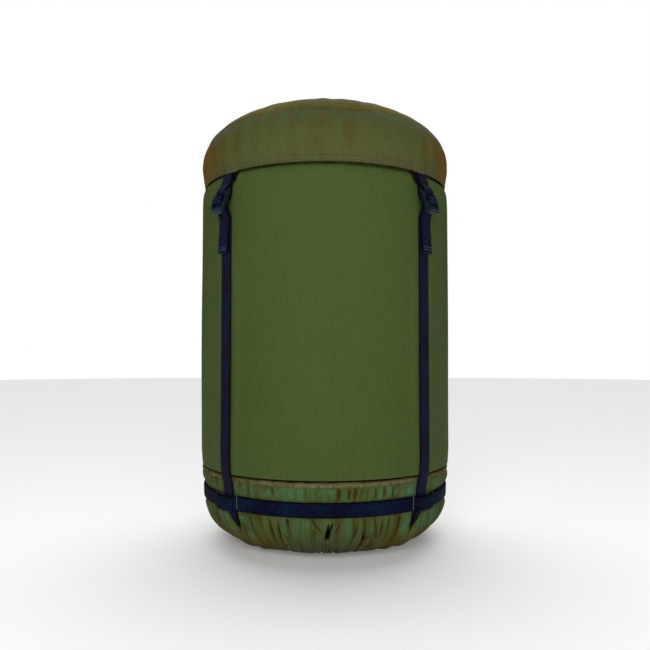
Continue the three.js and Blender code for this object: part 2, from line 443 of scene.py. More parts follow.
def grid_lines(paint, place, pitch, width):
    """1 on the heavier threads of a ripstop grid, and 0 between them."""
    split = paint.add("SeparateXYZ", {0: place})
    lines = []
    for axis in (0, 1):
        at = paint.math("PINGPONG", split.outputs[axis], pitch / 2)
        lines.append(paint.math("LESS_THAN", at, width / 2))
    return paint.math("MAXIMUM", *lines)


def cloth_paint(name, colour, warm_and_valley_shade, cool_and_ridge_highlight, sheen, tint=1.0, flat=False, ripstop=0.0, banded=0.0, zones=()):
    """Coated nylon in two tones. By tint, its valleys are painted warm and darker, as painted shade,
    and its folds cool and paler, as a painted highlight; where it is pulled in deepest it is painted
    near black, as painted shade. sheen is the colour that it turns at a low angle. flat cloth lies in
    plan, so its weave does too. ripstop is the pitch of its grid of heavier threads, and banded is
    how much its gathers alternate. zones are parts of another tone: the share, colour and
    unevenness of each, and the measures, in millimetres, that it starts and ends at."""
    paint = Paint(name, 0.62, **{
        "Specular IOR Level": 0.02,
        "Sheen Weight": 0.03,
        "Sheen Roughness": 0.35,
        "Sheen Tint": sheen,
    })
    place = paint.objects if flat else paint.add("UVMap", uv_map="cloth_uv").outputs["UV"]
    fold = paint.add("Attribute", attribute_name="fold").outputs["Fac"]
    stretched = paint.add("Mapping", {"Vector": place, "Scale": (1, 1 if flat else 0.1, 1)}).outputs[0]
    streaks = paint.noise(480, 3, stretched)
    bands = paint.noise(95, 3, stretched)
    patches = paint.noise(16, 3)
    spots = paint.noise(75, 3)
    specks = paint.noise(260, 4)
    grain = paint.noise(1100, 2)

    def share(value, low, high, most):
        return paint.times(paint.ramp(value, low, high), most)

    # Painted light by the folds: ridges turn cool and paler, as a painted highlight, and valleys warm and
    # darker, as painted shade.
    ridge_highlight = paint.times(share(fold, 0.1, 1.6, tint), paint.ramp(spots, 0.36, 0.6))
    valley_shade = paint.times(share(fold, -0.05, -1.3, tint), paint.ramp(spots, 0.3, 0.55))
    shade = paint.mix(share(patches, 0.45, 0.7, 0.25 * tint), colour, warm_and_valley_shade)
    shade = paint.mix(share(spots, 0.52, 0.72, 0.3 * tint), shade, cool_and_ridge_highlight)
    shade = paint.mix(share(bands, 0.54, 0.68, banded), shade, cool_and_ridge_highlight)
    shade = paint.mix(share(bands, 0.47, 0.36, 1.2 * banded), shade, warm_and_valley_shade)
    shade = paint.mix(ridge_highlight, shade, cool_and_ridge_highlight)
    shade = paint.mix(valley_shade, shade, warm_and_valley_shade)
    split = paint.add("SeparateXYZ", {0: paint.objects})
    measures = {"side": paint.math("ABSOLUTE", split.outputs[0]), "height": split.outputs[2]}
    uneven = {
        "all": 1.0,
        "spots": paint.ramp(spots, 0.3, 0.6),
        "high": paint.ramp(specks, 0.5, 0.6),
        "low": paint.ramp(specks, 0.5, 0.4),
    }
    for most, tone, where, *limits in zones:
        here = paint.times(uneven[where], most)
        for measure, start, end in limits:
            here = paint.times(here, paint.ramp(measures[measure], start * MM, end * MM))
        shade = paint.mix(here, shade, tone)
    dark = paint.mix(0.35, shade, BLACK)
    shade = paint.mix(share(streaks, 0.42, 0.7, 0.2 + 0.3 * tint), shade, dark)
    shade = paint.mix(share(grain, 0.45, 0.75, 0.3), shade, dark)
    # Painted shade: where the cloth is pulled in more than about 2.2 mm, in seams, pucker holes and deep
    # creases, it is painted near black.
    shade = paint.mix(share(fold, -2.2, -3.4, 0.95), shade, BLACK)
    normal = paint.bump(threads(paint, place, WEAVE_PITCH), 0.05 * MM, 0.5)
    if ripstop:
        lines = grid_lines(paint, place, ripstop, RIPSTOP_WIDTH)
        pale = paint.mix(0.04, shade, WHITE)
        shade = paint.mix(paint.times(lines, 0.12), shade, pale)
        normal = paint.bump(lines, 0.05 * MM, 0.2, normal)
    rumple = paint.noise(150, 3)
    normal = paint.bump(rumple, 0.5 * MM, 0.3, normal)
    paint.set(paint.shader, {"Base Color": shade, "Normal": normal})
    return paint.material


def webbing_paint(name, colour, blue, dark):
    """Ribbed webbing: heavy weft ribs, with painted shade between them and along its edges, and fine warp
    yarns over them.
    """
    paint = Paint(name, 0.55, **{
        "Specular IOR Level": 0.015,
        "Sheen Weight": 0.003,
        "Sheen Roughness": 0.4,
        "Sheen Tint": blue,
    })
    place = paint.add("UVMap", uv_map="cloth_uv").outputs["UV"]
    fold = paint.add("Attribute", attribute_name="fold").outputs["Fac"]
    patches = paint.noise(30, 3)
    fibres = paint.noise(1400, 2)
    shade = paint.mix(paint.ramp(patches, 0.4, 0.65), colour, blue)
    # Painted shade: the dark colour between the ribs and along the edges.
    shade = paint.mix(paint.ramp(fold, 0.35, -0.35), shade, dark)
    pale = paint.mix(0.08, shade, WHITE)
    shade = paint.mix(paint.times(paint.ramp(fibres, 0.5, 0.8), 0.3), shade, pale)
    split = paint.add("SeparateXYZ", {0: place})
    yarns = paint.math("SINE", paint.times(split.outputs[0], TURN / YARN_PITCH))
    normal = paint.bump(yarns, 0.1 * MM, 0.5)
    normal = paint.bump(fibres, 0.1 * MM, 0.4, normal)
    paint.set(paint.shader, {"Base Color": shade, "Normal": normal})
    return paint.material


def plastic_paint(name, colour, worn):
    """Moulded acetal, with a fine grain, and its edges painted a little paler teal: partly rubbed wear, and
    partly a painted highlight on its rails.
    """
    paint = Paint(name, 0.4, **{"Specular IOR Level": 0.18})
    edges = paint.ramp(paint.add("NewGeometry").outputs["Pointiness"], 0.53, 0.62)
    scuffs = paint.ramp(paint.noise(420, 4), 0.45, 0.7)
    rubbed_and_highlit = paint.times(paint.times(edges, scuffs), 0.5)
    # Painted highlight: the rubbed edges take the paler teal, which stands partly for wear and partly for the
    # rails' highlight.
    shade = paint.mix(rubbed_and_highlit, colour, worn)
    grain = paint.noise(1800, 2)
    rough = paint.add("MapRange", {"Value": scuffs, "To Min": 0.34, "To Max": 0.5}).outputs["Result"]
    paint.set(paint.shader, {
        "Base Color": shade,
        "Roughness": rough,
        "Normal": paint.bump(grain, 0.02 * MM, 0.15),
    })
    return paint.material


def thread_paint(name, colour):
    """Twisted sewing thread."""
    paint = Paint(name, 0.5, **{"Sheen Weight": 0.2})
    twist = paint.noise(2500, 1)
    dark = paint.mix(0.45, colour, BLACK)
    paint.set(paint.shader, {
        "Base Color": paint.mix(paint.ramp(twist, 0.35, 0.65), colour, dark),
        "Normal": paint.bump(twist, 0.08 * MM, 0.6),
    })
    return paint.material


def enamel_paint(name, colour, metal):
    """Enamelled metal, worn through at its edges."""
    paint = Paint(name, 0.3, Metallic=0.8)
    edges = paint.ramp(paint.add("NewGeometry").outputs["Pointiness"], 0.52, 0.58)
    wear = paint.times(edges, paint.ramp(paint.noise(700, 3), 0.4, 0.6))
    paint.set(paint.shader, {"Base Color": paint.mix(wear, colour, metal)})
    return paint.material


# -------- sizes, from the frame
FLOOR = low("base_patch").z
BASE_Z = low("base_skirt").z
SKIRT_HEAD = high("base_skirt").z
SKIRT_HEAD_R = high("base_skirt").x
BELT_FOOT, BELT_HEAD = low("belt").z, high("belt").z
SKIRT_R = SKIRT_HEAD_R - 2.2 * MM
BASE_FLAT_R = 54 * MM
BASE_POWER = (3.1, 1.84)
PANEL_FOOT, PANEL_HEAD = low("body_panel").z, high("body_panel").z
PANEL_R = high("body_panel").x
HEM_FOOT, HEM_HEAD = low("lid_hem").z, high("lid_hem").z
HEM_R = high("lid_hem").x
LID_R = high("lid_band").x
LID_TOP = high("lid_crown").z
LID_WAIST = HEM_FOOT + 20.5 * MM
LID_POWER = (1.7, 2.42)
CROWN_SEAM = 0.4
COLLAR_R = high("mouth_collar").x
COLLAR_FOOT = low("mouth_collar").z
COLLAR_WAIST = COLLAR_FOOT + 14 * MM
MOUTH_R = high("mouth_hem").x
PATCH_R = high("base_patch").x

HINGE = next(j for j in frame["joints"] if j["name"] == "lock_front_left_tilt")["pos_m"]
HINGE_R, HINGE_Z = math.hypot(HINGE[0], HINGE[1]), HINGE[2]
LOCK_TILT = radians(21)


def dome(base_r, base_z, rise, power, start, end, count):
    """Part of a superellipse, from its widest level (angle 0) to its axis (a quarter turn)."""
    angles = np.linspace(start, end, count)
    cos, sin = np.maximum(np.cos(angles), 0), np.sin(angles)
    return list(zip(base_r * cos ** (2 / power[0]), base_z + rise * sin ** (2 / power[1])))


def base_line(count):
    """The rounded base, from the edge of its flat middle up to the foot of the belt."""
    swept = dome(SKIRT_R - BASE_FLAT_R, BELT_FOOT, BASE_Z - BELT_FOOT, BASE_POWER, 0, pi / 2, count)
    return [(r + BASE_FLAT_R, z) for r, z in swept][::-1]


def shift_side(azimuth):
    """1 or -1: the way across a strap that leads to the middle of the front or the rear."""
    return -math.copysign(1, math.sin(radians(2 * azimuth)))


def strap_distance(az, reach, shift=0.0):
    """How far round the sack each azimuth is from the nearest strap, whose middle is shift towards
    the front or the rear."""
    across = []
    for azimuth in CORNERS.values():
        middle = radians(azimuth) + shift_side(azimuth) * shift / reach
        across.append(np.abs(angle_from(az, middle)))
    return np.minimum.reduce(across) * reach


# -------- main panel
PANEL_COLUMNS = 560
SEAM_AZIMUTH = pi
PANEL_CREASES = 26


def panel_push(az, along, r, z):
    x = az * PANEL_R
    foot, head = z - PANEL_FOOT, PANEL_HEAD - z
    strap = strap_distance(az, PANEL_R)
    held = 1 - step(z, 0.27, 0.31)
    d = 0.5 * MM * drift(az, along, 5, 190 * MM, 1)
    d = d + held * (0.9 * MM * hump(strap - 13 * MM, 5 * MM) - 0.2 * MM * hump(strap, 8 * MM, 4))
    d = d + 0.55 * MM * valleys(waves(az, 95, 2), 0.5) * np.exp(-np.maximum(foot, 0) / (7 * MM))
    d = d + 0.45 * MM * valleys(waves(az, 80, 3), 0.5) * np.exp(-head / (13 * MM))
    d = d - 3.4 * MM * (1 - step(foot, -0.5 * MM, -0.1 * MM))
    under_lock = hump(strap, 11 * MM, 4)
    d = d - 7.5 * MM * under_lock * step(z, PANEL_HEAD - 17 * MM, PANEL_HEAD)
    seam = np.abs(angle_from(az, SEAM_AZIMUTH)) * PANEL_R
    d = d + 0.7 * MM * (1 - step(seam, 4.5 * MM, 6 * MM))
    draw = np.random.default_rng(4)
    for _ in range(PANEL_CREASES):
        start = np.array([draw.uniform(-pi, pi) * PANEL_R, draw.uniform(0.02, 0.28)])
        lean = draw.uniform(-0.7, 0.7)
        length = draw.uniform(25, 95) * MM
        end = start + length * np.array([math.sin(lean), math.cos(lean)])
        d = d + crease(x, along, start, end, draw.uniform(0.12, 0.34) * MM, draw.uniform(1.6, 3.5) * MM)
    return d


def make_panel(paint):
    line = line_of([
        *steps_from(PANEL_R, PANEL_FOOT, (-1, 0), (0, 17)),
        *steps_from(PANEL_R, PANEL_HEAD, (-2.3, -18), (-3, -5), (-4.5, -1.2), (-8, 0)),
        *steps_from(COLLAR_R, PANEL_HEAD, (1.2, -0.4)),
    ], 132, 4)
    rises = (-0.6, -0.5, -0.35, -0.2, 0, 0.3, 0.8, 1.4)
    foot_rows = steps_from(PANEL_R, PANEL_FOOT, *((-1, rise) for rise in rises))
    line = np.concatenate([foot_rows, line[1:]])
    cloth_piece("body_panel", line, PANEL_COLUMNS, panel_push, paint, "sack", "ripstop")


# -------- lower end
SKIRT_ROWS = 128


def front_columns():
    """Azimuths round the skirt, closer together at the front, where its finest puckers are."""
    front = radians(13)
    fine = np.linspace(-front, front, 150, endpoint=False)
    rest = np.linspace(front, TURN - front, 620, endpoint=False)
    return np.concatenate([fine, rest])


def skirt_line():
    flat = [(0, BASE_Z), (BASE_FLAT_R, BASE_Z)]
    wall = [(SKIRT_R, BELT_HEAD), (SKIRT_HEAD_R, SKIRT_HEAD)]
    return line_of([*flat, *base_line(60)[1:], *wall], SKIRT_ROWS, 2)


# Creases at the front, by where they start and end: x round the skirt and q down from the belt,
# with their depth and width, all in millimetres.
FRONT_CREASES = [
    ((-13, 1), (-2.5, 18), 2.4, 1.2),
    ((-14, 13), (-2.5, 22), 1.2, 1.2),
    ((18, 1), (10.5, 16), 2.4, 1.2),
    ((18.5, 15), (9.5, 21), 1.2, 1.2),
    ((-38, 2), (-35.5, 28), 2.4, 1.5),
    ((40, 2), (40, 27), 2.4, 1.5),
    ((50.5, 2), (56, 31), 2.2, 1.5),
    ((-44, 19), (-37, 30), 1.8, 1.1),
    ((47, 21), (40.5, 30), 1.8, 1.1),
    ((-45, 36), (-28, 38), 3.2, 1.2),
    ((35.5, 41), (55, 38), 3.2, 1.2),
    ((3.2, 6.5), (2.6, 20), 6.0, 0.8),
    ((7.2, 6.0), (2.8, 20), 6.0, 0.8),
    ((3.6, 13), (1.6, 26), 8.0, 1.9),
]
FAN_X, FAN_Q = 2 * MM, 21 * MM
STRAP_DIVES = 42 * MM


def strap_sinks(z):
    """How deep a strap lies between the skirt's folds at a height: from the head of the belt it
    sinks in, and the folds close over it before it comes out again under the base."""
    tunnel = 3.2 * (1 - step(z, BELT_FOOT, BELT_HEAD))
    between = 2.2 * (1 - step(z, 20 * MM, BELT_FOOT))
    return (tunnel + between) * step(z, 3 * MM, 12 * MM) * MM


def strap_shifts(z):
    """How far the folds push a strap sideways at a height, towards the front or the rear."""
    return 9 * MM * (1 - step(z, 20 * MM, BELT_HEAD)) * step(z, 2 * MM, 12 * MM)


def skirt_push(az, along, r, z):
    x = angle_from(az, 0) * SKIRT_R
    belt = float(along[np.argmin(np.abs(z - BELT_FOOT) + (r < BASE_FLAT_R) * 1.0)][0])
    q = belt - along
    strap = strap_distance(az, SKIRT_R, strap_shifts(z))

    height = np.clip((z - BELT_HEAD) / (SKIRT_HEAD - BELT_HEAD), 0, 1)
    swell = np.sin(pi * height) ** 0.8
    lean = az + 0.012 * waves(az, 12, 10) * height
    fading = np.clip(0.75 + 0.5 * drift(az, along, 30, 40 * MM, 16), 0.2, 1.2)
    gathers = folds(lean, 38, 11, 0.011) * fading
    small = valleys(waves(lean, 130, 18), 0.5)
    upper = swell * (1.6 * MM + 0.5 * MM * waves(az, 28, 12) + 2.9 * MM * gathers + 0.6 * MM * small)

    down = step(q, 0, 7 * MM)
    reach = np.clip(r / SKIRT_R, 0, 1)
    level = 1 - step(r, 45 * MM, 110 * MM)
    plain = 1 - hump(x, 30 * MM, 4) * (1 - step(q, 34 * MM, 50 * MM))
    sway = az + 0.06 * np.sin(3 * az + 1) * q / (50 * MM) + 0.02 * waves(az, 9, 17) * step(q, 0, 30 * MM)
    tucks = folds(sway, 34, 13, 0.0105) * fading * plain
    pleats = valleys(waves(az, 120, 14), 0.5)
    swelling = (0.8 * MM + 0.7 * MM * waves(az, 17, 15)) * (1 - 0.6 * level)
    lower = down * (swelling + 3.3 * MM * tucks * reach**1.2 + 0.6 * MM * small * reach)
    lower = lower + pleats * 1.1 * MM * step(q, 30 * MM, 60 * MM) * np.clip(r / (60 * MM), 0, 1)
    turn = np.arctan2(x - FAN_X, q - FAN_Q)
    away = np.hypot(x - FAN_X, q - FAN_Q)
    spokes = -np.abs(np.sin(19 * turn + 0.6 * np.sin(5 * turn))) * hump(away - 13 * MM, 9 * MM)
    lower = lower + 0.8 * MM * spokes * step(q, 18 * MM, 25 * MM)
    beside = hump(strap - 12 * MM, 6 * MM)
    lower = lower + 1.8 * MM * down * beside * (1 - level)

    open_for_strap = 1 - step(q, 2 * MM, STRAP_DIVES) * (1 - level)
    gap = np.maximum(9.5 * open_for_strap - 2 * step(q, -8 * MM, 1 * MM) * (1 - level), 0.3) * MM
    clear = 1 - hump(strap, gap, 4)
    groove = (strap_sinks(z) + 0.3 * MM) * step(q, -14 * MM, -10 * MM) * (1 - level)
    d = np.where(z > BELT_HEAD, upper, np.where(q < 0, -0.5 * MM, lower * clear - 0.5 * MM * (1 - down)))
    d = d * clear - (0.3 * MM + groove) * (1 - clear)
    for start, end, depth, width in FRONT_CREASES:
        a, b = np.array(start) * MM, np.array(end) * MM
        d = d + crease(x, q, a, b, depth * MM, width * MM)
    return np.where(r < 60 * MM, np.minimum(d, 1.6 * MM), d)


def make_strip(paint):
    foot, head = low("ruched_strip").z, high("ruched_strip").z
    top_r = high("ruched_strip").x
    line = line_of([(SKIRT_HEAD_R, foot - 1.2 * MM), (top_r, head)], 24)

    def push(az, along, r, z):
        t = np.clip((z - foot + 1.2 * MM) / (head - foot + 1.2 * MM), 0, 1)
        bulge = np.sin(pi * t) ** 0.5
        ruches = valleys(waves(az, 170, 21) + 0.5 * waves(az, 60, 23) * (t - 0.5), 0.6)
        d = bulge * (0.2 * MM + 1.1 * MM * ruches) + 0.2 * MM * waves(az, 90, 22)
        return d - 3.6 * MM * step(t, 0.54, 0.64) - 0.3 * MM * (1 - step(t, 0, 0.08))

    cloth_piece("ruched_strip", line, 1400, push, paint, "sack", "strip_cloth")


# -------- lid
LID_COLUMNS = 620
CROWN_CREASES = 16


def lid_lines():
    rise = LID_TOP - LID_WAIST
    shoulder = dome(LID_R, LID_WAIST, rise, LID_POWER, 0, CROWN_SEAM, 24)
    top = dome(LID_R, LID_WAIST, rise, LID_POWER, CROWN_SEAM, pi / 2, 90)
    return line_of([(HEM_R, HEM_FOOT + 0.9 * MM), *shoulder], 64, 2), line_of(top, 78)


def seam_puckers(az):
    return valleys(waves(az, 92, 31), 0.45) + 0.4 * valleys(waves(az, 170, 37), 0.5)


def hem_puckers(az):
    """Puckers along the lid's hem, which stands out where it passes over the locks' webbing."""
    over = hump(strap_distance(az, HEM_R), 9 * MM, 4)
    return 0.6 * MM * valleys(waves(az, 78, 34), 0.42) + 2.9 * MM * over


def make_lid(paint, crown_paint):
    band, top = lid_lines()
    seam_r = band[-1, 0]

    def band_push(az, along, r, z):
        from_hem, from_seam = along - along[0], along[-1] - along
        d = 0.7 * MM * drift(az, along, 7, 110 * MM, 32)
        d = d + 0.5 * MM * waves(az, 34, 33) * np.sin(pi * along / along[-1])
        d = d * step(from_hem, 0, 15 * MM) + hem_puckers(az) * np.exp(-from_hem / (9 * MM))
        d = d - 0.3 * MM * hump(from_hem - 5 * MM, 1.2 * MM)
        d = d + 1.3 * MM * seam_puckers(az) * np.exp(-from_seam / (8 * MM))
        return d

    def crown_push(az, along, r, z):
        from_seam = along - along[0]
        middle = np.clip(r / seam_r, 0, 1)
        x, y = r * np.sin(az), -r * np.cos(az)
        d = 1.3 * MM * seam_puckers(az) * np.exp(-from_seam / (11 * MM))
        d = d + 0.6 * MM * waves(az, 26, 35) * middle**2 * (1 - step(r, 0.7 * seam_r, seam_r) * 0.6)
        draw = np.random.default_rng(36)
        for _ in range(CROWN_CREASES):
            turn, far = draw.uniform(0, TURN), draw.uniform(0.35, 0.95) * seam_r
            start = np.array([math.sin(turn), -math.cos(turn)]) * far
            lean = turn + draw.uniform(-0.7, 0.7)
            end = start - draw.uniform(18, 60) * MM * np.array([math.sin(lean), -math.cos(lean)])
            d = d + crease(x, y, start, end, draw.uniform(0.3, 0.8) * MM, draw.uniform(1.8, 4) * MM)
        return d

    cloth_piece("lid_band", band, LID_COLUMNS, band_push, paint, "lid", "lid_taffeta")
    cloth_piece("lid_crown", top, LID_COLUMNS, crown_push, crown_paint, "lid", "lid_taffeta", pole=True)


def make_lid_hem(paint):
    """The lid's hem: its cloth folded under, from inside the lid round to the foot of the band."""
    line = line_of([
        *steps_from(HEM_R, HEM_HEAD, (-2, 2)),
        *steps_from(HEM_R, HEM_FOOT, (-2, 0), (-1.2, -0.9), (-0.2, -0.8), (0.15, 0.9)),
    ], 24, 1)

    def push(az, along, r, z):
        outward = np.clip(normals_of(line)[:, :1] + 0.5, -0.5, 0.5) * 2
        return hem_puckers(az) * outward

    cloth_piece("lid_hem", line, 900, push, paint, "lid", "lid_taffeta", thickness=0.7 * MM)


# -------- mouth, under the lid
def make_collar(paint):
    hem_foot, hem_head = low("mouth_hem").z, high("mouth_hem").z
    inner_r = 15 * MM
    rise = high("mouth_collar").z - COLLAR_WAIST
    roof = dome(COLLAR_R, COLLAR_WAIST, rise, (1.8, 2.3), 0, 1.37, 60)
    roof[-1] = (MOUTH_R + 0.3 * MM, roof[-1][1])
    line = line_of([(COLLAR_R - 0.4 * MM, PANEL_HEAD - 12 * MM), (COLLAR_R, COLLAR_FOOT), *roof], 86, 2)

    def push(az, along, r, z):
        near = np.clip((COLLAR_R - r) / (COLLAR_R - MOUTH_R), 0, 1)
        size = np.sin(pi * np.clip(along / along[-1], 0, 1)) ** 0.7
        tucks = valleys(waves(az, 44, 51), 0.4)
        d = size * (0.4 * MM + 2.6 * MM * tucks * (0.35 + near) + 0.5 * MM * waves(az, 20, 52))
        return d + 0.5 * MM * valleys(waves(az, 90, 53), 0.5) * np.exp(-along / (9 * MM))

    cloth_piece("mouth_collar", line, 560, push, paint, "sack", "skirt_taffeta")

    ring = line_of([
        *steps_from(MOUTH_R, hem_foot, (-3, 0), (0, 2)),
        *steps_from(MOUTH_R, hem_head, (0, -3), (-3.5, 0)),
        (inner_r + 0.6 * MM, hem_head - 3 * MM),
        (inner_r + 0.4 * MM, hem_foot + 3 * MM),
    ], 60, 3)

    def ruffles(az, along, r, z):
        return 0.9 * MM * valleys(waves(az, 30, 54), 0.5) * np.sin(pi * along / along[-1])

    cloth_piece("mouth_hem", ring, 300, ruffles, paint, "sack", "skirt_taffeta", thickness=0.9 * MM)


def make_patch(paint):
    rim = steps_from(PATCH_R, FLOOR, (-1, 0.25), (-0.2, 0.8))
    line = line_of([(0, FLOOR + 0.25 * MM), *rim], 34, 1)

    def push(az, along, r, z):
        ring = hump(r - PATCH_R + 3 * MM, 0.6 * MM)
        return -0.25 * MM * ring + 0.04 * MM * waves(az, 24, 61) * r / PATCH_R

    cloth_piece("base_patch", line, 180, push, paint, "sack", "strip_cloth", thickness=1.3 * MM, pole=True)


# -------- webbing
TUNNEL = {"beyond": radians(2), "half": radians(6.8), "flat": radians(5)}
TUNNEL_LIFT = 3.6 * MM
TUNNEL_SAG = 1 * MM


def tunnel_centres():
    angles = [radians(a) for a in CORNERS.values()]
    return [a + math.copysign(TUNNEL["beyond"], a) for a in angles]


def rib_and_edge_shading(ribs, across, power):
    """How pale ribbed webbing is painted: painted shade between its ribs and along its edges."""
    return np.abs(np.sin(ribs)) * 2.2 - 1.2 - 1.5 * np.abs(across) ** power


def make_belt(paint):
    outer = SKIRT_R + 0.4 * MM + WEB_THICK
    line = line_of([(outer - 0.5 * MM, BELT_FOOT - 0.3 * MM), (outer, BELT_HEAD - 1 * MM)], 11)
    ribs = round(TURN * outer / RIB_PITCH)

    def push(az, along, r, z):
        away = np.minimum.reduce([np.abs(angle_from(az, c)) for c in tunnel_centres()])
        lift = TUNNEL_LIFT * (1 - step(away, TUNNEL["flat"], TUNNEL["half"]))
        edge = np.minimum(along, along[-1] - along)
        rib = np.abs(np.sin(az * ribs / 2)) - 0.6
        sag = 0.25 * MM * waves(az, 18, 71)
        return lift + sag + RIB_HEIGHT * rib - 0.5 * MM * np.exp(-edge / (0.6 * MM))

    belt = skin("belt_webbing", line, ribs * 5, push, WEB_THICK - 0.1 * MM)
    for point in belt.data.vertices:
        out = math.hypot(point.co.x, point.co.y) - outer
        point.co.z -= TUNNEL_SAG * min(max(out / TUNNEL_LIFT, 0), 1)
    az = np.linspace(-pi, pi, ribs * 5, endpoint=False)[None, :]
    across = np.linspace(-1, 1, len(line))[:, None]
    # Painted shade between the belt's ribs and along its edges, stored for its paint.
    note_folds(belt, rib_and_edge_shading(az * ribs / 2, across, 8))
    finish_piece(belt, paint, "sack", "webbing", "belt")


def on_lock(t, n):
    """A point of the lock: t along it from its top bar, n outward from it, as radius and height."""
    sin, cos = math.sin(LOCK_TILT), math.cos(LOCK_TILT)
    return (HINGE_R + t * sin + n * cos, HINGE_Z - t * cos + n * sin)


def rounded(points):
    """A path of webbing in radius and height, with four points to a rib and its bends rounded."""
    length = lengths_along(np.array(points, float))[-1]
    return line_of(points, int(4 * length / RIB_PITCH), 3)


def facing(corner):
    """The directions out of the sack at a corner and across its strap."""
    turn = radians(CORNERS[corner])
    return way_out(turn), np.array([math.cos(turn), math.sin(turn), 0])


RIB_HEIGHT = 0.2 * MM
RIBBON_COLUMNS = 11


def ribbon(name, corner, path, start=0.0, roll=None, shift=None):
    """Ribbed webbing along a path of radius and height. start keeps its ribs in step with the
    stretch before it. roll gives half the angle that it is rolled to across its width, and shift
    how far it lies to the side, by height."""
    outward, across = facing(corner)
    out = normals_of(path)
    along = start + lengths_along(path)
    u = np.linspace(-1, 1, RIBBON_COLUMNS)
    u = np.sign(u) * np.abs(u) ** 0.8 / 2
    rib = RIB_HEIGHT * (np.abs(np.sin(pi * along / RIB_PITCH)) - 0.6)
    rim = 0.35 * MM * np.abs(2 * u) ** 8
    bend = np.full(len(path), 1e-3) if roll is None else np.maximum(roll(path), 1e-3)
    reach = WEB_WIDTH / 2 / bend[:, None]
    angle = u[None, :] * WEB_WIDTH / reach
    x = reach * np.sin(angle)
    sunk = reach * (1 - np.cos(bend[:, None])) * 0.75
    lift = reach * (1 - np.cos(angle)) - sunk
    grids = []
    for side in (1, -1):
        half = side * (WEB_THICK / 2 + rib[:, None] - rim[None, :])
        away = lift + half * np.cos(angle)
        sideways = x - half * np.sin(angle)
        if shift is not None:
            sideways = sideways + shift_side(CORNERS[corner]) * shift(path[:, 1:])
        r = path[:, :1] + out[:, :1] * away
        z = path[:, 1:] + out[:, 1:] * away
        points = r[..., None] * outward + sideways[..., None] * across
        points[..., 2] += z
        grids.append(points)
    made = sheet_mesh(name, *grids, u * WEB_WIDTH, along)
    # Painted shade between the ribs and along the edges, stored for the paint.
    note_folds(made, rib_and_edge_shading(pi * along[:, None] / RIB_PITCH, 2 * u, 10))
    return made


RUN_LEAVES_Z = 347 * MM
NECK_Z = 334 * MM
MID_BAR = (9.4 * MM, 13 * MM)
LOCK_HALF = 1.7 * MM
CLEAR = 0.4 * MM
TAIL_OFF_RUN = 2.7 * MM
TAIL_END = (146.4 * MM, 312 * MM)
TAIL_HEM_MM = 6.5


def strap_path():
    """The whole strap as radius and height: from the base patch, up the sack, round the middle bar
    of its lock, and down again as the tail, whose end is folded under."""
    back = CLEAR + WEB_THICK / 2
    lying = FLOOR + WEB_THICK / 2 + 0.2 * MM
    base = np.array(base_line(40))
    under = base + normals_of(base) * (back - strap_sinks(base[:, 1:]))
    under = [(r, max(z, lying)) for r, z in under if r > BASE_FLAT_R]
    front = LOCK_HALF + back
    tail = -front
    proud = front + 1.5 * MM
    load = tail - WEB_THICK - CLEAR
    up, down = MID_BAR[0] - back, MID_BAR[1] + back
    leaves = np.array([PANEL_R - 2.1 * MM + back, RUN_LEAVES_Z])
    # Round the middle bar: t and n on the lock, and how many millimetres are added to each.
    round_bar = [
        (down, load, 0, 0.6),
        (up, load, 1.2, 1.4),
        (up, load, 0, 2.8),
        (up, proud, 0, -1.2),
        (up, proud, 1.2, 0),
        (down, proud, -1.2, 0),
        (down, proud, 0, -1.2),
        (down, tail, 0.3, 1.9),
        (down, tail, 1.7, 0),
    ]
    return rounded([
        (PATCH_R + CLEAR, lying),
        (BASE_FLAT_R, lying),
        *under,
        (SKIRT_R + back, BELT_HEAD),
        (SKIRT_HEAD_R + back, SKIRT_HEAD),
        (PANEL_R - 1 * MM + back, PANEL_FOOT),
        (PANEL_R + back, PANEL_FOOT + 17 * MM),
        leaves,
        *(on_lock(t + a * MM, n + b * MM) for t, n, a, b in round_bar),
        leaves + np.array([TAIL_OFF_RUN, -2 * MM]),
        *steps_from(*TAIL_END, (-0.6, TAIL_HEM_MM), (0, 0.3), (-0.4, -0.6)),
        *steps_from(*TAIL_END, (-1.5, -0.6), (-1.9, 0.3), (-2.4, TAIL_HEM_MM)),
    ])


def pinched(path):
    """Half the angle, in radians, that the strap is rolled up to across its width where the skirt
    bulges on both sides of it, on its way from the belt to the flat of the base."""
    r, z = path.T
    return 2.2 * step(r, 60 * MM, 85 * MM) * (1 - step(z, 30 * MM, BELT_FOOT + 9 * MM))


def squash_tail(piece):
    """Gives a tail its own copy of its mesh. Its webbing runs through the lock."""
    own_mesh(piece)


def make_straps(paint):
    path = strap_path()
    along = lengths_along(path)
    top = int(np.argmax(path[:, 1]))
    neck = int(np.argmax(path[:top, 1] > NECK_Z))
    into_lock = int(np.argmax(path[:top, 1] > on_lock(MID_BAR[1], 0)[1] - 4 * MM))
    out_of_lock = top + int(np.argmax(path[top:, 1] < RUN_LEAVES_Z))
    last = len(path) - 1
    stretches = {
        "run": (0, neck),
        "neck": (neck, into_lock),
        "fold": (into_lock, out_of_lock),
        "tail": (out_of_lock, last),
    }
    for corner in CORNERS:
        lock = f"lock_{corner}"
        made = {}
        for part, (a, b) in stretches.items():
            lower = (pinched, strap_shifts) if part == "run" else ()
            made[part] = ribbon(f"strap_{part}_{corner}_webbing", corner, path[a:b + 1], along[a], *lower)
        finish_piece(made["run"], paint, None, "webbing", f"strap_run_{corner}")
        finish_piece(made["neck"], paint, None, "webbing")
        finish_piece(made["fold"], paint, lock, "webbing", f"strap_end_{corner}")
        finish_piece(made["tail"], paint, lock, "webbing")
        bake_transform(made["run"])
        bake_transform(made["neck"])
        squash_tail(made["tail"])


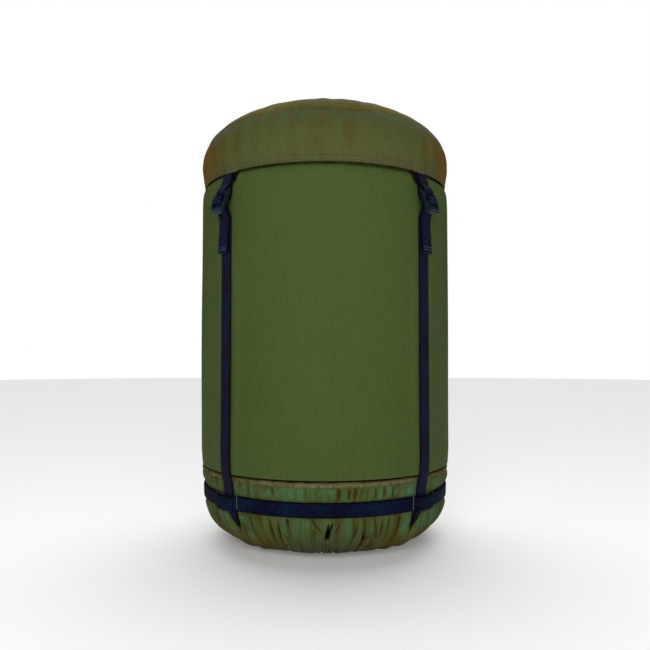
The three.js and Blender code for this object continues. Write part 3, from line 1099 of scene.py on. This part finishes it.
def make_lock_webbing(paint):
    """Short webbing from inside the lid's hem, round the lock's top bar and back: two layers."""
    bar = np.array([HINGE_R, HINGE_Z])
    hem_r = HEM_R - 1 * MM
    bend = np.array([hem_r + 1.2 * MM, HEM_FOOT - 3.5 * MM])
    up = (bend - bar) / np.linalg.norm(bend - bar)
    out = np.array([up[1], -up[0]])
    layer = WEB_THICK / 2 + 0.03 * MM
    eye = 1.6 * MM + CLEAR + WEB_THICK / 2
    side = steps_from(hem_r + layer, HEM_FOOT, (0, 8), (0, 1))
    outer = [*side, bend + out * layer, bar + up * 7 * MM + out * layer, bar + up * 2 * MM + out * eye * 0.94]
    turn = [bar + eye * (math.cos(a) * out - math.sin(a) * up) for a in np.linspace(0.1, pi - 1, 7)]
    slack = PANEL_R - 1.5 * MM
    inner = steps_from(slack, HINGE_Z, (2, -9), (0, -2), (-1, 9))
    inner += steps_from(hem_r - layer, HEM_FOOT, (0, -5), (0, 1), (0, 8))
    path = rounded([*outer, *turn, *inner])
    for corner in CORNERS:
        made = ribbon(f"lock_webbing_{corner}_loop", corner, path)
        finish_piece(made, paint, "lid", "webbing", f"lock_webbing_{corner}")


# -------- ladder locks
def box_into(bm, low_corner, high_corner, bevel):
    size = np.array(high_corner) - np.array(low_corner)
    middle = (np.array(high_corner) + np.array(low_corner)) / 2
    made = bmesh.ops.create_cube(bm, size=1, matrix=Matrix.Translation(middle) @ Matrix.Diagonal((*size, 1)))
    edges = {e for v in made["verts"] for e in v.link_edges}
    bmesh.ops.bevel(bm, geom=list(edges), offset=bevel, segments=3, affect="EDGES", profile=0.5)


def rod_into(bm, radius, half_length, t, n):
    turn = Matrix.Translation((0, t, n)) @ Matrix.Rotation(pi / 2, 4, "Y")
    bmesh.ops.create_cone(bm, cap_ends=True, segments=32, radius1=radius, radius2=radius,
                          depth=2 * half_length, matrix=turn)


def plate_into(bm, half_width, t_from, t_to, n_from, n_to, corner):
    """A plate across the lock with rounded corners, seen from its front."""
    outline = []
    for cx, ct, start in ((1, 1, 0), (-1, 1, 1), (-1, -1, 2), (1, -1, 3)):
        for angle in np.linspace(start, start + 1, 7) * pi / 2:
            x = cx * (half_width - corner) + corner * math.cos(angle)
            t = (t_to - corner if ct > 0 else t_from + corner) + corner * math.sin(angle)
            outline.append((x, t))
    rings = [[bm.verts.new((x, t, n)) for x, t in outline] for n in (n_from, n_to)]
    bm.faces.new(rings[0][::-1])
    bm.faces.new(rings[1])
    for k in range(len(outline)):
        m = (k + 1) % len(outline)
        bm.faces.new((rings[0][k], rings[0][m], rings[1][m], rings[1][k]))


def lock_shape():
    """The ladder lock in millimetres: x across, t down its length from the top bar, n outward.
    These axes are left-handed, so each placed lock has its faces turned."""
    bm = bmesh.new()
    for side in (-1, 1):
        x = sorted((side * 7.9, side * 10.5))
        box_into(bm, (x[0], -2.1, -1.9), (x[1], 22, 1.9), 0.8)
        box_into(bm, (x[0], 3, -1.4), (x[1], 19, 3.2), 1.2)
    rod_into(bm, 1.6, 9, 0, 0)
    box_into(bm, (-9, 9.4, -1.6), (9, 13, 1.6), 1.1)
    plate_into(bm, 10.5, 19.2, 25, -1.7, 1.7, 2.6)
    rod_into(bm, 1.4, 8.2, 23.3, 1.3)
    mesh = bpy.data.meshes.new("lock_shape")
    bm.to_mesh(mesh)
    bm.free()
    rough = add_object("lock_shape", mesh)
    remesh = rough.modifiers.new("one skin", "REMESH")
    remesh.mode = "VOXEL"
    remesh.voxel_size = 0.22
    smooth = rough.modifiers.new("moulded edges", "SMOOTH")
    smooth.factor = 0.5
    smooth.iterations = 5
    graph = bpy.context.evaluated_depsgraph_get()
    made = bpy.data.meshes.new_from_object(rough.evaluated_get(graph))
    bpy.data.objects.remove(rough)
    return made


def make_locks(paint):
    shape = lock_shape()
    down = (math.sin(LOCK_TILT), -math.cos(LOCK_TILT))
    out = (math.cos(LOCK_TILT), math.sin(LOCK_TILT))
    for corner in CORNERS:
        outward, across = facing(corner)
        up = np.array([0, 0, 1])
        t_axis = outward * down[0] + up * down[1]
        n_axis = outward * out[0] + up * out[1]
        place = Matrix.Identity(4)
        for column, axis in enumerate((across, t_axis, n_axis)):
            place.col[column][:3] = axis * MM
        place.translation = outward * HINGE_R + up * HINGE_Z
        mesh = shape.copy()
        mesh.transform(place)
        mesh.flip_normals()
        mesh.shade_smooth()
        lock = add_object(f"ladder_lock_{corner}_moulding", mesh)
        finish_piece(lock, paint, f"lock_{corner}", "buckle_plastic", f"ladder_lock_{corner}")


# -------- stitching
THREAD = 0.5 * MM
THREAD_SIDES = 6
STITCH_RINGS = 6


def stitches(name, starts, ends, outward):
    """Short stitches of sewing thread, each from a start to an end, arched a little off the cloth."""
    starts, ends, outward = (np.array(x, float) for x in (starts, ends, outward))
    along = ends - starts
    long_way = along / np.linalg.norm(along, axis=1, keepdims=True)
    side = np.cross(outward, long_way)
    t = np.linspace(0, 1, STITCH_RINGS)
    arch = THREAD * (0.75 * np.sin(pi * t) ** 0.7 - 0.45)
    middle = starts[:, None] + along[:, None] * t[None, :, None] + outward[:, None] * arch[None, :, None]
    half = THREAD / 2 * (0.45 + 0.55 * np.sin(pi * t) ** 0.5)
    turn = np.arange(THREAD_SIDES) / THREAD_SIDES * TURN
    spoke = np.cos(turn)[None, :, None] * side[:, None] + np.sin(turn)[None, :, None] * outward[:, None]
    verts = middle[:, :, None] + half[None, :, None, None] * spoke[:, None]
    ring, s = np.meshgrid(np.arange(STITCH_RINGS - 1), np.arange(THREAD_SIDES), indexing="ij")
    a = (ring * THREAD_SIDES + s).ravel()
    b = (ring * THREAD_SIDES + (s + 1) % THREAD_SIDES).ravel()
    walls = np.stack([a, b, b + THREAD_SIDES, a + THREAD_SIDES], 1)
    cap = np.array([[3, 2, 1, 0], [5, 4, 3, 0]])
    far = (STITCH_RINGS - 1) * THREAD_SIDES
    one = np.concatenate([walls, cap, cap[:, ::-1] + far])
    faces = one[None] + (np.arange(len(starts)) * STITCH_RINGS * THREAD_SIDES)[:, None, None]
    return object_of(name, verts.reshape(-1, 3), faces.reshape(-1, 4))


class Cloth:
    """The surface of a piece, for sewing on it."""

    def __init__(self, name):
        mesh = bpy.data.objects[name].data
        points = [v.co for v in mesh.vertices]
        self.tree = BVHTree.FromPolygons(points, [p.vertices[:] for p in mesh.polygons])

    def seen_from(self, place, towards):
        """Where a straight look from a place first meets the cloth, and which way it faces there."""
        hit, normal, _, _ = self.tree.ray_cast(Vector(place), Vector(towards).normalized())
        if hit is None:
            return None
        facing_in = normal.dot(Vector(towards)) > 0
        return np.array(hit), np.array(-normal if facing_in else normal)

    def sew(self, name, length, *rows):
        """Rows of stitches. A row is the places and directions of the looks that find its needle
        holes, in order, and each stitch covers length, a share of the way to the next hole."""
        pairs = []
        for looks in rows:
            holes = [self.seen_from(*look) for look in looks]
            pairs += [(a, b) for a, b in zip(holes, holes[1:]) if a is not None and b is not None]
        starts = [a[0] for a, _ in pairs]
        ends = [a[0] + (b[0] - a[0]) * length for a, b in pairs]
        return stitches(name, starts, ends, [a[1] for a, _ in pairs])


OUTSIDE = 0.2


def look_in(way, z, across=0):
    """A look at the sack from outside it, at a height, against a level direction out of it."""
    return way * OUTSIDE + across + np.array([0, 0, z]), -way


def round_looks(z, pitch, reach):
    """Needle holes all round the sack at one height."""
    count = round(TURN * reach / pitch)
    return [look_in(way_out(az), z) for az in np.linspace(-pi, pi, count + 1)]


def sew_seams(dark, pale):
    """The rows of sewing on the sack and the lid."""
    looks = round_looks(HEM_FOOT + 5 * MM, 2.8 * MM, HEM_R)
    hem = Cloth("lid_band_cloth").sew("lid_hem_stitching", 0.75, looks)
    finish_piece(hem, dark, "lid", "lid_taffeta")
    looks = round_looks(low("ruched_strip").z - 0.7 * MM, 2.2 * MM, SKIRT_HEAD_R)
    lower = Cloth("ruched_strip_cloth").sew("strip_stitching", 0.8, looks)
    finish_piece(lower, dark, "sack", "strip_cloth")
    panel = Cloth("body_panel_cloth")
    seam_heights = np.arange(PANEL_FOOT + 6 * MM, PANEL_HEAD - 8 * MM, 3 * MM)
    for side, name in ((-1, "left"), (1, "right")):
        across = np.array([1, 0, 0]) * side * 2.4 * MM
        looks = [look_in(way_out(SEAM_AZIMUTH), z, across) for z in seam_heights]
        row = panel.sew(f"panel_seam_stitching_{name}", 0.72, looks)
        finish_piece(row, dark, "sack", "ripstop")
    ring = []
    for az in np.linspace(0, TURN, 69):
        ring.append(((way_out(az) - np.array([0, 0, 1])) * (PATCH_R - 3 * MM), (0, 0, 1)))
    sewn = Cloth("base_patch_cloth").sew("base_patch_stitching", 0.72, ring)
    finish_piece(sewn, pale, "sack", "strip_cloth")


def sew_tunnels(thread):
    """A bar tack at both ends of each place where the belt stands off for a strap."""
    half = 0.75 * MM / SKIRT_R
    away = TUNNEL["half"] + radians(0.2)
    heights = np.arange(BELT_FOOT + 1 * MM, BELT_HEAD - 0.8 * MM, 0.42 * MM)
    tacks = []
    for middle in (centre + side * away for centre in tunnel_centres() for side in (-1, 1)):
        tacks += [[look_in(way_out(middle + turn), z) for turn in (-half, half)] for z in heights]
    sewn = Cloth("belt_webbing").sew("belt_bar_tacks", 1, *tacks)
    finish_piece(sewn, thread, "sack", "strip_cloth")


def sew_tails(thread):
    """Two rows of stitches across the folded end of each tail."""
    for corner in CORNERS:
        outward, across = facing(corner)
        holes = np.linspace(-0.42, 0.42, 8) * WEB_WIDTH
        rows = [[look_in(outward, TAIL_END[1] + rise, across * x) for x in holes]
                for rise in (2.4 * MM, 5.1 * MM)]
        name = f"strap_tail_{corner}"
        sewn = Cloth(f"{name}_webbing").sew(f"{name}_stitching", 0.6, *rows)
        finish_piece(sewn, thread, f"lock_{corner}", "webbing")
        squash_tail(sewn)


# -------- the whole sack
def make_paints():
    rust, gold, moss = rgb(120, 78, 24), rgb(120, 96, 24), rgb(70, 88, 46)
    seam, hem = (LID_WAIST + 34 * MM) / MM, HEM_FOOT / MM
    low_end, middle = ("height", 34, 16), ("side", 62, 26)
    skirt_zones = [
        # The first zone is painted sheen: the skirt turns brown towards its left and right sides, more so
        # higher up.
        (0.5, rgb(78, 62, 26), "spots", ("side", 98, 132), ("height", 24, 60)),
        (0.75, rgb(88, 62, 18), "all", low_end, ("side", 26, 64)),
        (0.85, rgb(78, 74, 50), "spots", low_end, middle),
        (0.5, rgb(60, 58, 44), "high", ("height", 20, 6), middle),
    ]
    strip_zones = [
        (0.75, rgb(72, 68, 28), "spots", ("side", 58, 108)),
        (0.6, rgb(84, 58, 30), "high", ("side", 30, 90)),
        (0.4, rgb(122, 106, 88), "low", ("side", 70, 20)),
    ]
    near_seam = ("height", seam - 18, seam - 5)
    past_seam = ("height", seam + 13, seam + 4)
    teal, rusty = rgb(46, 92, 66), rgb(96, 62, 36)
    lid_zones = [
        # The first two zones are painted sheen: the band turns orange-brown towards its left and right sides,
        # as shot cloth does at a low angle.
        (0.85, rgb(110, 78, 12), "all", ("side", 116, 141), ("height", seam, hem + 24)),
        (0.6, rgb(104, 74, 24), "spots", ("side", 86, 120)),
        (0.6, rgb(84, 74, 58), "high", ("height", hem + 16, hem + 4)),
        (0.75, teal, "high", near_seam),
        (0.5, rusty, "low", near_seam),
    ]
    crown_zones = [
        # The first zone is painted sheen: the crown turns gold towards its left and right sides.
        (0.9, rgb(108, 97, 2), "all", ("side", 26, 80)),
        (0.8, rgb(84, 84, 24), "spots", ("height", seam + 10, seam)),
        (0.4, teal, "high", past_seam),
        (0.4, rusty, "low", past_seam),
    ]
    return {
        "ripstop": cloth_paint(
            "ripstop_nylon", rgb(70, 85, 42), rgb(66, 78, 36), rgb(62, 84, 46), moss,
            tint=0.4, ripstop=RIPSTOP_PITCH),
        "skirt": cloth_paint(
            "skirt_taffeta_nylon", rgb(72, 87, 44), rgb(66, 53, 20), rgb(70, 108, 72), rust,
            banded=0.55, zones=skirt_zones),
        "strip": cloth_paint(
            "strip_cloth_nylon", rgb(104, 104, 68), rgb(72, 60, 30), rgb(122, 118, 90), rust,
            zones=strip_zones),
        "lid": cloth_paint(
            "lid_taffeta_nylon", rgb(78, 84, 45), rgb(80, 66, 32), rgb(68, 90, 56), rust,
            tint=0.55, zones=lid_zones),
        "crown": cloth_paint(
            "crown_taffeta_nylon", rgb(84, 82, 12), rgb(92, 70, 6), rgb(76, 84, 18), gold,
            tint=0.7, flat=True, zones=crown_zones),
        # The third colour of each webbing is its painted shade between ribs and along edges.
        "webbing": webbing_paint("ribbed_webbing", rgb(27, 21, 46), rgb(20, 32, 68), rgb(4, 3, 8)),
        "belt": webbing_paint("belt_webbing_nylon", rgb(5, 8, 38), rgb(4, 30, 60), rgb(0, 0, 4)),
        # The lock's second colour is its edge tone: partly rubbed wear, partly a painted teal highlight.
        "lock": plastic_paint("moulded_acetal", rgb(6, 26, 32), rgb(24, 86, 92)),
        "dark_thread": thread_paint("dark_thread", rgb(34, 38, 22)),
        "tan_thread": thread_paint("tan_thread", rgb(76, 68, 58)),
        "pale_thread": thread_paint("pale_thread", rgb(100, 104, 98)),
        "enamel": enamel_paint("eyelet_enamel", rgb(40, 40, 44), rgb(150, 148, 140)),
    }


def declare_cloth():
    """Defines a way to find a piece by its name, and uses it for nothing."""
    def piece(name):
        return bpy.data.objects[name]


def make_sack(paint):
    make_panel(paint["ripstop"])
    cloth_piece("base_skirt", skirt_line(), front_columns(), skirt_push, paint["skirt"], "sack",
                "skirt_taffeta", pole=True)
    make_strip(paint["strip"])
    make_lid(paint["lid"], paint["crown"])
    make_lid_hem(paint["lid"])
    make_collar(paint["skirt"])
    make_patch(paint["strip"])
    make_belt(paint["belt"])
    make_straps(paint["webbing"])
    make_lock_webbing(paint["webbing"])
    make_locks(paint["lock"])
    sew_seams(paint["dark_thread"], paint["tan_thread"])
    sew_tunnels(paint["tan_thread"])
    sew_tails(paint["pale_thread"])
    for side in ("left", "right"):
        eyelet = frame["nodes"][f"hem_eyelet_{side}"]
        eyelet.data.materials.clear()
        eyelet.data.materials.append(paint["enamel"])


add_camera()
add_studio()
make_sack(make_paints())
declare_cloth()
